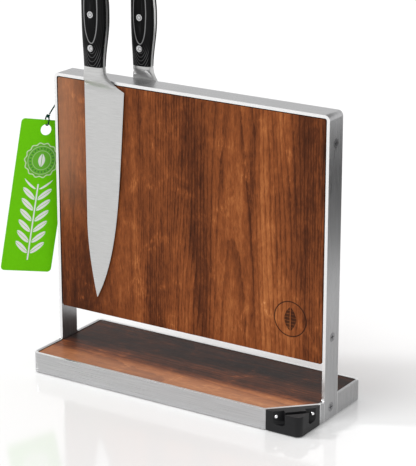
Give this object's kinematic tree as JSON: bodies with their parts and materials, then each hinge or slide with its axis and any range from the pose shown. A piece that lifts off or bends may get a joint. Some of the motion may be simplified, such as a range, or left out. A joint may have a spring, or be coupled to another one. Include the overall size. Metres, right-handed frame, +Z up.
{
  "type": "knife block with knives",
  "caption": "Free-standing two-sided magnetic knife board in a steel arch on a steel-ringed wooden base with a corner sharpener, holding riveted knives and a hang tag.",
  "frame": {"origin": "centre of the base's footprint on the surface that the feet stand on", "axes": "+X to the right seen from the front, +Y to the back, +Z up"},
  "size_m": [0.3508, 0.114, 0.4169],
  "materials": {
    "frame_steel": "satin brushed sheet steel",
    "base_wood": "oiled and satin lacquered hardwood, grain along the base",
    "board_wood": "oiled and satin lacquered hardwood, upright grain",
    "core_wood": "plain laminated wood",
    "magnet_nickel": "nickel plated",
    "screw_steel": "bright screw steel",
    "dome_chrome": "polished",
    "foot_rubber": "soft matt rubber",
    "black_plastic": "fine satin moulded plastic",
    "carbide": "ground tungsten carbide",
    "ceramic": "fine white ceramic",
    "blade_steel": "satin ground stainless steel",
    "handle_black": "polished black laminate with pale layer lines",
    "rivet_steel": "polished rivet steel",
    "tag_card": "printed and laminated card",
    "string_green": "twisted green string"
  },
  "bodies": {
    "block": {"upright_frame": "frame_steel", "base_front_band": "frame_steel", "base_back_band": "frame_steel", "base_board": "base_wood", "front_board": "board_wood", "board_core": "core_wood", "rear_board": "board_wood", "front_magnets": "magnet_nickel", "rear_magnets": "magnet_nickel", "board_screws": "screw_steel", "base_screws": "screw_steel", "rubber_feet": "foot_rubber", "sharpener_body": "black_plastic", "sharpener_floor": "black_plastic", "carbide_blades": "carbide", "ceramic_rods": "ceramic", "sharpener_screws": "dome_chrome", "tag_loop": "string_green", "tag_knot": "string_green", "tag_string": "string_green"},
    "chef_knife": {"chef_blade": "blade_steel", "chef_front_scale": "handle_black", "chef_rear_scale": "handle_black", "chef_rivets": "rivet_steel"},
    "carving_knife": {"carving_blade": "blade_steel", "carving_front_scale": "handle_black", "carving_rear_scale": "handle_black", "carving_rivets": "rivet_steel"},
    "tag": {"hang_tag": "tag_card"}
  },
  "joints": [
    {"name": "chef_knife_pull", "type": "slide", "parent": "block", "child": "chef_knife", "axis": [0, -1, 0], "range_m": [0, 0.12]},
    {"name": "carving_knife_pull", "type": "slide", "parent": "block", "child": "carving_knife", "axis": [0, 1, 0], "range_m": [0, 0.12]},
    {"name": "tag_swing", "type": "hinge", "parent": "block", "child": "tag", "pos_m": [-0.1696, -0.005, 0.2336], "axis": [-0.829, 0.5592, 0], "range_deg": [-30, 15]}
  ]
}
